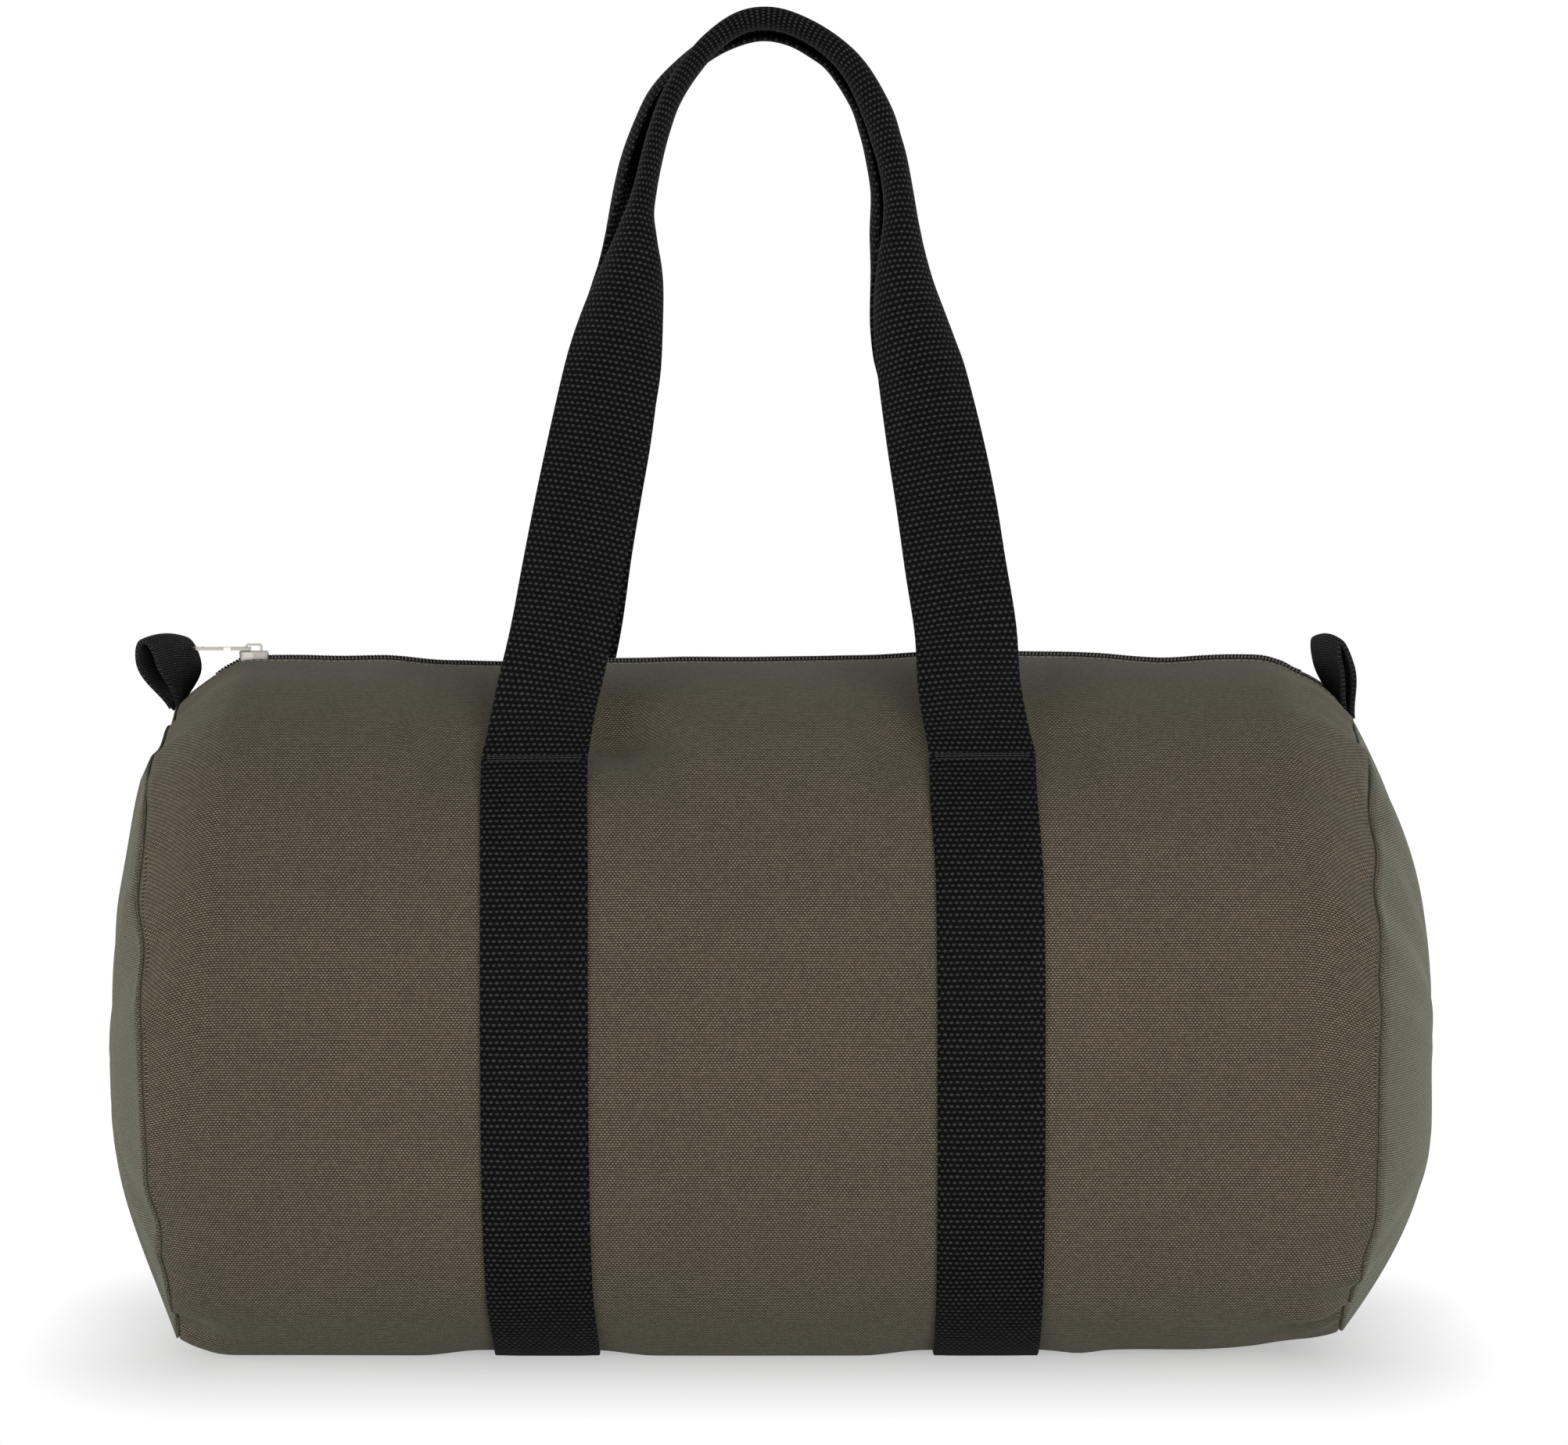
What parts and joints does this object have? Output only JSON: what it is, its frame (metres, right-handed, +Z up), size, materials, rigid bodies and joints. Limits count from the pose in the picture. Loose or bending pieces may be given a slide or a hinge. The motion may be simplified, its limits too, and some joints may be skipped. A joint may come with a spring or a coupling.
{
  "type": "barrel bag",
  "caption": "Soft canvas barrel hold-all with a full-length top zip, webbing carrying handles rolled into round grips, and a webbing pull tab on each end",
  "frame": {"origin": "On the ground under the middle of the bag", "axes": "+X runs along the bag, to the right of someone facing its front; the front looks along -Y; +Z is up"},
  "size_m": [0.5116, 0.265, 0.5135],
  "materials": {
    "canvas": "dark olive plain-weave cotton canvas, matt",
    "webbing": "black heavy cotton webbing, knotted weave, matt",
    "zip_cloth": "dark woven polyester tape, matt",
    "zip_nylon": "dark nylon coil, slight sheen",
    "nickel": "bright nickel-plated zinc, polished"
  },
  "bodies": {
    "bag": {"main_panel": "canvas", "left_end_panel": "canvas", "right_end_panel": "canvas", "left_seam_binding": "zip_cloth", "right_seam_binding": "zip_cloth", "front_zip_tape": "zip_cloth", "back_zip_tape": "zip_cloth", "front_zip_coil": "zip_nylon", "back_zip_coil": "zip_nylon", "left_strap": "webbing", "right_strap": "webbing"},
    "front_handle": {"front_handle": "webbing"},
    "back_handle": {"back_handle": "webbing"},
    "slider": {"zip_slider": "nickel"},
    "pull": {"zip_pull": "nickel"},
    "left_tab": {"left_tab": "webbing"},
    "right_tab": {"right_tab": "webbing"}
  },
  "joints": [
    {"name": "front_handle_swing", "type": "hinge", "parent": "bag", "child": "front_handle", "pos_m": [0, -0.09598, 0.22978], "axis": [1, 0, 0], "range_deg": [0, 140]},
    {"name": "back_handle_swing", "type": "hinge", "parent": "bag", "child": "back_handle", "pos_m": [0, 0.09598, 0.22978], "axis": [-1, 0, 0], "range_deg": [0, 140]},
    {"name": "slider_travel", "type": "slide", "parent": "bag", "child": "slider", "axis": [1, 0, 0], "range_m": [0, 0.385], "deforming": ["front_zip_coil", "back_zip_coil"]},
    {"name": "pull_swing", "type": "hinge", "parent": "slider", "child": "pull", "pos_m": [-0.19715, 0, 0.26595], "axis": [0, 1, 0], "range_deg": [0, 165]},
    {"name": "left_tab_bend", "type": "hinge", "parent": "bag", "child": "left_tab", "pos_m": [-0.2312, 0, 0.2408], "axis": [0, -1, 0], "range_deg": [0, 45], "stiffness_Nm_per_rad": 0.003},
    {"name": "right_tab_bend", "type": "hinge", "parent": "bag", "child": "right_tab", "pos_m": [0.2312, 0, 0.2408], "axis": [0, 1, 0], "range_deg": [0, 45], "stiffness_Nm_per_rad": 0.003}
  ]
}
